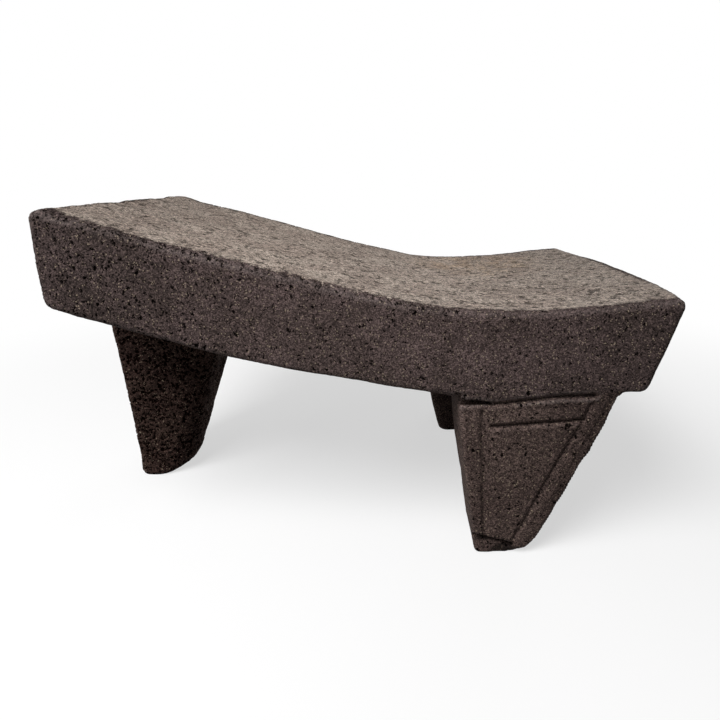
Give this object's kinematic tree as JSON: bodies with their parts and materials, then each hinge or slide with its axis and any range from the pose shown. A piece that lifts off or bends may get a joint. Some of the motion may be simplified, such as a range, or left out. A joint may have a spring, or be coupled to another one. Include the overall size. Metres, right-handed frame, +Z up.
{
  "type": "metate",
  "caption": "Low stone grinding table: a sloping, dished slab on tapered stone legs, for grinding grain and seeds with a hand stone.",
  "frame": {"origin": "on the ground, under the centre of the stone's bounding box", "axes": "+X along the stone from the raised end with the single leg to the low end with the paired legs, +Y across the stone, +Z up"},
  "size_m": [0.4746, 0.27, 0.2705],
  "materials": {
    "slab_stone": "vesicular grey-brown basalt, pecked rough at the sides, ground smoother and paler on top",
    "leg_stone": "vesicular dark grey-brown basalt, pecked rough"
  },
  "bodies": {
    "root": {"grinding_slab": "slab_stone", "single_leg": "leg_stone", "near_leg": "leg_stone", "far_leg": "leg_stone"}
  },
  "joints": []
}
